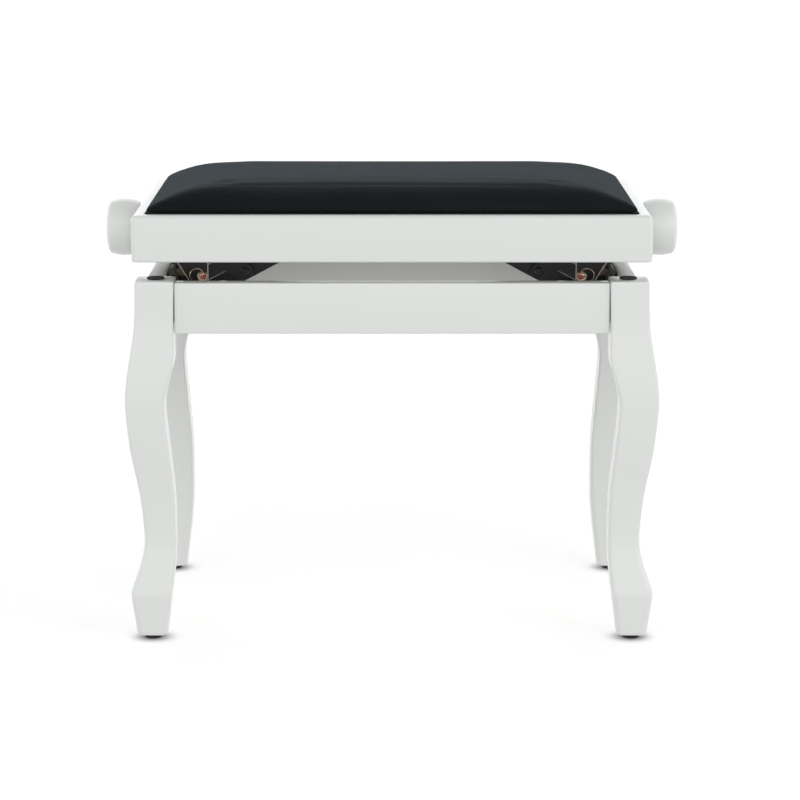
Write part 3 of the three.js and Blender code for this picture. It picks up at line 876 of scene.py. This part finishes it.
def knob_mesh():
    """Turned knob on the left, a barrel with a rounded rim outside and a slightly domed end."""
    rows = [(SCREW_R, 0), (barrel(0) - KNOB_BACK_FLAT, 0)]
    for k in range(1, 6):
        a = math.radians(15 * k)
        rows.append((barrel(KNOB_RIM) - KNOB_RIM * (1 - math.sin(a)), KNOB_RIM * (1 - math.cos(a))))
    for i in range(25):
        place = KNOB_RIM + (KNOB_LENGTH - KNOB_SHOULDER) * i / 24
        rows.append((barrel(place), place))
    radius, place = rows[-1]
    rise = KNOB_LENGTH - place - KNOB_DOME
    for k in range(1, 13):
        a = math.radians(90 * k / 12)
        rows.append((radius - KNOB_SHOULDER * (1 - math.cos(a)), place + rise * math.sin(a)))
    rows += [(rows[-1][0] * s, KNOB_LENGTH - KNOB_DOME * s * s) for s in (0.8, 0.55, 0.3, 0)]
    mesh = turned(rows, "x", sides=96)
    mesh.transform(Matrix.Translation((-KNOB_IN, 0, SCREW_Z)) @ Matrix.Diagonal((-1, 1, 1, 1)))
    return mesh


bushing = bushing_mesh()
knob = knob_mesh()
for name, side in SIDES.items():
    sign = (-side, 1)
    fine(f"bushing_{name}", bushing, BLACK_STEEL, "seat", mirror=sign)
    fine(f"knob_{name}", knob, LACQUER["x"], "screw", 40, sign)

# How far the near and the far faces of each plate are from the middle plane of the bench.
EAR = (67.5 * MM, 71.5 * MM)
ARM = (73 * MM, 77 * MM)
LINK = (78.5 * MM, 82.5 * MM)
HANGER = (84 * MM, 88 * MM)
PIN_R = 4 * MM
PIN_HOLE_R = 4.3 * MM
PIN_HEAD_R = 7 * MM
# Where a riveted head starts and ends, out from the plate that it holds.
ARM_HEAD = (0.4 * MM, 3 * MM)
LINK_HEAD = (0.6 * MM, 3.4 * MM)
NUT_X = 89 * MM
NUT_HALF = 14 * MM
NUT_EDGE = 1.2 * MM
NUT_BORE_R = 10 * MM


def pin_head(low, high):
    """Profile of a riveted head from its flat side at low to its domed side at high."""
    rise = high - low
    rim = 0.35
    flat = 0.45
    rows = [(PIN_HEAD_R, low), (PIN_HEAD_R, low + rise * rim)]
    for k in range(1, 7):
        a = math.radians(15 * k)
        rows.append((PIN_HEAD_R * (flat + (1 - flat) * math.cos(a)),
                     low + rise * (rim + (1 - rim) * math.sin(a))))
    return rows + [(0, high)]


def stud_mesh(root, plate_face, head, at=(0, 0, 0)):
    """Stud about Y from its root to a riveted head on the far side of a plate."""
    neck, tip = (plate_face - distance for distance in head)
    return turned([(0, root), (PIN_R, root), (PIN_R, neck), *pin_head(neck, tip)], "y", at)


def nut_mesh():
    """Block with the screw's bore through it and a crossbar that ends in the pins of both arms."""
    head, tip = (ARM[1] + distance for distance in ARM_HEAD)
    shoulder = ARM[0] - 1 * MM
    half = [(PIN_HEAD_R, NUT_HALF + 1 * MM), (PIN_HEAD_R, shoulder), (PIN_R, shoulder), (PIN_R, head),
            *pin_head(head, tip)]
    beyond = NUT_HALF + 6 * MM
    body = bpy.data.objects.new("nut", box_mesh((-NUT_HALF,) * 3, (NUT_HALF,) * 3, NUT_EDGE))
    cross = bpy.data.objects.new("cross", turned([(r, -y) for r, y in reversed(half)] + half))
    bore = bpy.data.objects.new("bore", turned([(0, -beyond), (NUT_BORE_R, -beyond), (NUT_BORE_R, beyond),
                                                (0, beyond)], "x", sides=64))
    for obj in (body, bore, cross):
        scene.collection.objects.link(obj)
    modified(body, "BOOLEAN", operation="UNION", object=cross, solver="EXACT")
    modified(body, "BOOLEAN", operation="DIFFERENCE", object=bore, solver="EXACT")
    mesh = body.data.copy()
    for obj in (body, bore, cross):
        bpy.data.objects.remove(obj)
    mesh.transform(Matrix.Translation((-NUT_X, 0, SCREW_Z)))
    return mesh


# ---------- lift arms, half links, brackets and hangers ----------

PIVOT_X = 231 * MM
PIVOT_Z = 354 * MM
ARM_W = 20 * MM
ARM_EDGE = 0.5 * MM
LINK_W = 18 * MM
SLOT_HALF = 4 * MM
ARM_LENGTH = math.hypot(PIVOT_X - NUT_X, SCREW_Z - PIVOT_Z)
ARM_ANGLE = math.atan2(SCREW_Z - PIVOT_Z, PIVOT_X - NUT_X)


def round_hole(x, z, radius, sides=40):
    return [(x + radius * math.cos(2 * math.pi * i / sides), z + radius * math.sin(2 * math.pi * i / sides))
            for i in range(sides)]


def strip_outline(length, width):
    return arc(length, 0, width / 2, -90, 90, 24) + arc(0, 0, width / 2, 90, 270, 24)


def placed(mesh, x, z, angle=0.0):
    """Turns a mesh up about Y by an angle, then moves it."""
    mesh.transform(Matrix.Translation((x, 0, z)) @ Matrix.Rotation(-angle, 4, "Y"))
    return mesh


def arm_mesh():
    """Front left arm, from its pivot on the base up to the nut."""
    holes = [round_hole(x, 0, PIN_HOLE_R) for x in (0, ARM_LENGTH / 2, ARM_LENGTH)]
    strip = plate(strip_outline(ARM_LENGTH, ARM_W), holes, -ARM[1], -ARM[0], ARM_EDGE)
    return placed(strip, -PIVOT_X, PIVOT_Z, ARM_ANGLE)


def link_mesh():
    """Front left half link, from its stud in the hanger's slot down to the middle of the arm."""
    length = ARM_LENGTH / 2
    # The half link keeps its edges black, without the painted edge highlight.
    strip = plate(strip_outline(length, LINK_W), [round_hole(length, 0, PIN_HOLE_R)], -LINK[1], -LINK[0],
                  bare_edges_with_painted_highlight=False)
    stud = stud_mesh(-LINK[0] - 0.5 * MM, -HANGER[1], LINK_HEAD)
    return placed(joined(strip, stud), -PIVOT_X, SCREW_Z, -ARM_ANGLE)


def rod_mesh():
    """Rod through the middles of the two left arms, its ends nearly flush with the links."""
    reach = ARM_LENGTH / 2
    middle = (-PIVOT_X + reach * math.cos(ARM_ANGLE), 0, PIVOT_Z + reach * math.sin(ARM_ANGLE))
    half = steps_from(LINK[1], 1, [(4, 0.3), (3.4, 0.8), (0, 0.9)])
    return turned([(r, -y) for r, y in reversed(half)] + [(PIN_R, 0)] + half, "y", middle)


BRACKET_T = 3 * MM
BRACKET_DROP = 12 * MM
EAR_REACH = 10 * MM
# Where the screws are in the foot of the front left bracket, as Y and Z in mm.
BRACKET_SCREWS = [(-52, 350), (-14, 350), (-33, 378)]
bracket_low, bracket_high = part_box("base_bracket_front_left")
wall = bracket_low.x


def bracket_mesh():
    """Angle bracket of the front left arm: a foot on the apron and an ear with the arm's stud."""
    bottom = PIVOT_Z - BRACKET_DROP
    foot = box_mesh((wall, -EAR[1], bottom), (wall + BRACKET_T, -0.5 * MM, bracket_high.z), 0.5 * MM)
    ear = box_mesh((wall, -EAR[1], bottom), (-PIVOT_X + EAR_REACH, -EAR[0], PIVOT_Z + EAR_REACH), 0.8 * MM)
    stud = stud_mesh(-EAR[0] - 1 * MM, -ARM[1], ARM_HEAD, (-PIVOT_X, 0, PIVOT_Z))
    return joined(foot, ear, stud)


HANGER_SHOULDER = 418 * MM
HANGER_TOE = (222 * MM, 384 * MM)
HANGER_BOTTOM = 376 * MM
HANGER_ROUND = 5 * MM
HANGER_EDGE = 1.2 * MM
HANGER_FLANGE = 20 * MM
HANGER_FLANGE_T = 3.5 * MM
HANGER_BOLT_R = 3 * MM
BOLT_X, BOLT_UP = 205.8 * MM, 388.2 * MM
hanger_low, hanger_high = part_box("hanger_front_left")
HANGER_TOP = hanger_high.z
HANGER_INNER, HANGER_OUTER = -hanger_high.x, -hanger_low.x


def hanger_mesh():
    """Plate under the front left of the seat with a slot for the half link's stud, and its flange."""
    toe_x, toe_z = HANGER_TOE
    outline = [(-HANGER_INNER, HANGER_TOP), (-HANGER_OUTER, HANGER_TOP), (-HANGER_OUTER, HANGER_SHOULDER),
               (-toe_x, toe_z),
               *arc(-toe_x + HANGER_ROUND, HANGER_BOTTOM + HANGER_ROUND, HANGER_ROUND, 180, 270, 8),
               (-HANGER_INNER, HANGER_BOTTOM)]
    stud_slot = (arc(-PIVOT_X, SCREW_Z + SLOT_HALF, PIN_HOLE_R, 0, 180, 16)
                 + arc(-PIVOT_X, SCREW_Z - SLOT_HALF, PIN_HOLE_R, 180, 360, 16))
    bolt_hole = round_hole(-BOLT_X, BOLT_UP, HANGER_BOLT_R + GAP)
    sheet = plate(outline, [stud_slot, bolt_hole], -HANGER[1], -HANGER[0], HANGER_EDGE)
    flange = box_mesh((-HANGER_OUTER, -HANGER[0] - 1 * MM, HANGER_TOP - HANGER_FLANGE_T),
                      (-HANGER_INNER, -HANGER[0] + HANGER_FLANGE, HANGER_TOP), 0.5 * MM)
    return joined(sheet, flange)


# Sections of the bolt's end, of the collar and the cup round it and of the paint on it, as rows of radius
# and height above the hanger's face in mm.
BOLT_END = [(3, 6), (2.2, 6.2), (2.2, 6.5), (0, 6.5)]
COLLAR = [(3, 0), (5.4, 0), (5.4, 7.3), (5.2, 7.8), (4.9, 8), (4.6, 7.8), (4.3, 7.2), (4.2, 5), (3, 4.6)]
CUP = [(6.9, 0), (8, 0), (8, 4.6), (7.7, 5), (7.2, 5), (7, 4.6)]
PAINT = [(0, 7.4), (1.6, 7.2), (2.4, 6.6), (2.5, 6.1), (0, 6.1)]
# How far the cup and the paint are from the bolt's middle, across and up.
CUP_SHIFT = (-6 * MM, 1 * MM)
PAINT_SHIFT = (1.4 * MM, -0.4 * MM)
BOLT_FACE = -HANGER[1] - GAP


def hanger_bolt_mesh():
    """Bolt through the front left hanger, with a collar and a half-hidden cup on its end."""
    # The bolt's tail stays clear of the half link that swings past behind the hanger.
    tail = -HANGER[0] + 1 * MM
    shank = turned([(0, tail), (HANGER_BOLT_R, tail), *steps_from(BOLT_FACE, -1, BOLT_END)],
                   at=(-BOLT_X, 0, BOLT_UP))
    collar = turned(steps_from(BOLT_FACE, -1, COLLAR), at=(-BOLT_X, 0, BOLT_UP))
    cup = turned(steps_from(BOLT_FACE, -1, CUP), at=(-BOLT_X + CUP_SHIFT[0], 0, BOLT_UP + CUP_SHIFT[1]))
    return joined(shank, collar, cup)


def paint_mesh():
    """Dab of paint on the end of the front left bolt."""
    place = (-BOLT_X + PAINT_SHIFT[0], 0, BOLT_UP + PAINT_SHIFT[1])
    return turned(steps_from(BOLT_FACE, -1, PAINT), at=place, sides=24)


# Section of a pan head with its recess, as rows of radius and height in mm.
PAN_HEAD = [(0, 0), (3.6, 0), (3.6, 0.8), (3.2, 1.5), (2.4, 2), (1.3, 2.2), (1.1, 1.2), (0, 1.0)]
SCREW_INSET = 11 * MM


def pan_screws(places, axis, way):
    """Pan-head screws on a face that looks along axis, or against it where way is -1."""
    return joined(*(turned(steps_from(0, way, PAN_HEAD), axis, place, 32) for place in places))


nut = nut_mesh()
rod = rod_mesh()
for name, side in SIDES.items():
    sign = (-side, 1)
    fine(f"nut_crossbar_{name}", nut, BRIGHT_STEEL, f"nut_{name}", mirror=sign)
    fine(f"middle_rod_{name}", rod, BLACK_STEEL, f"arm_{name}", mirror=sign)

arm = arm_mesh()
link = link_mesh()
bracket = bracket_mesh()
hanger = hanger_mesh()
bolt = hanger_bolt_mesh()
paint = paint_mesh()
hanger_screws = pan_screws([(x, -HANGER[0] + SCREW_INSET, HANGER_TOP - HANGER_FLANGE_T)
                            for x in (-HANGER_OUTER + SCREW_INSET, -HANGER_INNER - SCREW_INSET)], "z", -1)
bracket_screws = pan_screws([(wall + BRACKET_T, y * MM, z * MM) for y, z in BRACKET_SCREWS], "x", 1)
for corner, sign in CORNERS.items():
    side = corner.split("_")[1]
    fine(f"lift_arm_{corner}", arm, BLACK_STEEL, f"arm_{side}", mirror=sign)
    fine(f"half_link_{corner}", link, BLACK_STEEL, f"link_{side}", mirror=sign)
    fine(f"base_bracket_{corner}", bracket, BLACK_STEEL, "base", mirror=sign)
    fine(f"hanger_{corner}", hanger, BLACK_STEEL, "seat", mirror=sign)
    fine(f"hanger_bolt_{corner}", bolt, YELLOW_ZINC, "seat", mirror=sign)
    piece(f"bolt_paint_{corner}", paint, PAINT_MARK, "seat", 60, sign)
    piece(f"hanger_screws_{corner}", hanger_screws, YELLOW_ZINC, "seat", mirror=sign)
    piece(f"bracket_screws_{corner}", bracket_screws, BLACK_STEEL, "base", mirror=sign)

# ---------- floor, light and camera ----------

FLOOR = 40.0
FLOOR_GLOW = 0.33
# Distances from the middle of a pad between which its painted contact shadow fades.
CONTACT = (8 * MM, 34 * MM)
WORLD_STRENGTH = 1.32
# Brightness of the surroundings from straight down to straight up.
WORLD_STOPS = ((0.0, 0.42), (0.47, 0.46), (0.495, 1.0), (0.78, 1.0), (0.9, 0.35), (1.0, 0.08))
EYE_BACK = 3.171
EYE_UP = 0.8553
EYE_TILT = 11.1


def floor_look():
    """White floor with a faint glow, and a painted contact shadow close round each pad that darkens its
    colour and its glow.
    """
    s = Surface("studio_floor", Roughness=0.9)
    s.shader.inputs["Specular IOR Level"].default_value = 0.0
    low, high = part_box("foot_pad_front_left")
    pad = (-(low.x + high.x) / 2, -(low.y + high.y) / 2, 0)
    quarter = s.tree.nodes.new("ShaderNodeVectorMath")
    quarter.operation = "ABSOLUTE"
    s.feed(quarter.inputs[0], s.place)
    far = s.tree.nodes.new("ShaderNodeVectorMath")
    far.operation = "DISTANCE"
    s.feed(far.inputs[0], quarter.outputs[0])
    far.inputs[1].default_value = pad
    reach = s.node("ShaderNodeMapRange", Value=far.outputs["Value"], From_Min=CONTACT[0],
                   From_Max=CONTACT[1])
    # Painted contact shadow: dark next to each pad, fading out to full white.
    shade = s.ramp(reach.outputs["Result"], (0.0, 0.26), (0.2, 0.48), (0.45, 0.76), (0.7, 0.94), (1.0, 1.0))
    s.set("Base Color", s.mix(1.0, (0.90, 0.90, 0.90), shade, "MULTIPLY"))
    s.set("Emission Color", shade)
    s.shader.inputs["Emission Strength"].default_value = FLOOR_GLOW
    return s.material


floor_mesh = bpy.data.meshes.new("floor")
floor_corners = [(x * FLOOR, y * FLOOR, 0) for x, y in ((-1, -1), (1, -1), (1, 1), (-1, 1))]
floor_mesh.from_pydata(floor_corners, [], [(0, 1, 2, 3)])
floor = bpy.data.objects.new("floor", floor_mesh)
scene.collection.objects.link(floor)
floor.data.materials.append(floor_look())
floor.visible_diffuse = False


def studio_world():
    """Soft white surroundings, brightest from level to half way up, dim below."""
    world = bpy.data.worlds.new("studio")
    world.use_nodes = True
    tree = world.node_tree
    nodes = tree.nodes
    nodes.clear()
    place = nodes.new("ShaderNodeTexCoord")
    split = nodes.new("ShaderNodeSeparateXYZ")
    ramp = nodes.new("ShaderNodeValToRGB")
    glow = nodes.new("ShaderNodeBackground")
    out = nodes.new("ShaderNodeOutputWorld")
    tree.links.new(place.outputs["Generated"], split.inputs[0])
    height = nodes.new("ShaderNodeMapRange")
    height.inputs["From Min"].default_value = -1
    tree.links.new(split.outputs["Z"], height.inputs["Value"])
    tree.links.new(height.outputs["Result"], ramp.inputs[0])
    tree.links.new(ramp.outputs[0], glow.inputs["Color"])
    tree.links.new(glow.outputs[0], out.inputs[0])
    elements = ramp.color_ramp.elements
    while len(elements) < len(WORLD_STOPS):
        elements.new(0.5)
    for element, (position, level) in zip(elements, WORLD_STOPS):
        element.position = position
        element.color = (level, level, level, 1)
    glow.inputs["Strength"].default_value = WORLD_STRENGTH
    scene.world = world


def softbox(name, place, aim, size, watts):
    light = bpy.data.lights.new(name, "AREA")
    light.shape = "RECTANGLE"
    light.size, light.size_y = size
    light.energy = watts
    obj = bpy.data.objects.new(name, light)
    scene.collection.objects.link(obj)
    obj.location = place
    obj.rotation_euler = (Vector(aim) - Vector(place)).to_track_quat("-Z", "Y").to_euler()


studio_world()
softbox("fill", (2.6, -2.2, 1.5), (0, 0, 0.3), (1.6, 1.6), 8)

camera = bpy.data.cameras.new("camera")
camera.lens = 128.97
camera.sensor_width = 36
camera.shift_x = 0.01
camera.clip_end = 100
eye = bpy.data.objects.new("camera", camera)
scene.collection.objects.link(eye)
eye.location = (0, -EYE_BACK, EYE_UP)
eye.rotation_euler = (math.radians(90 - EYE_TILT), 0, 0)
scene.camera = eye
scene.view_settings.view_transform = "Standard"
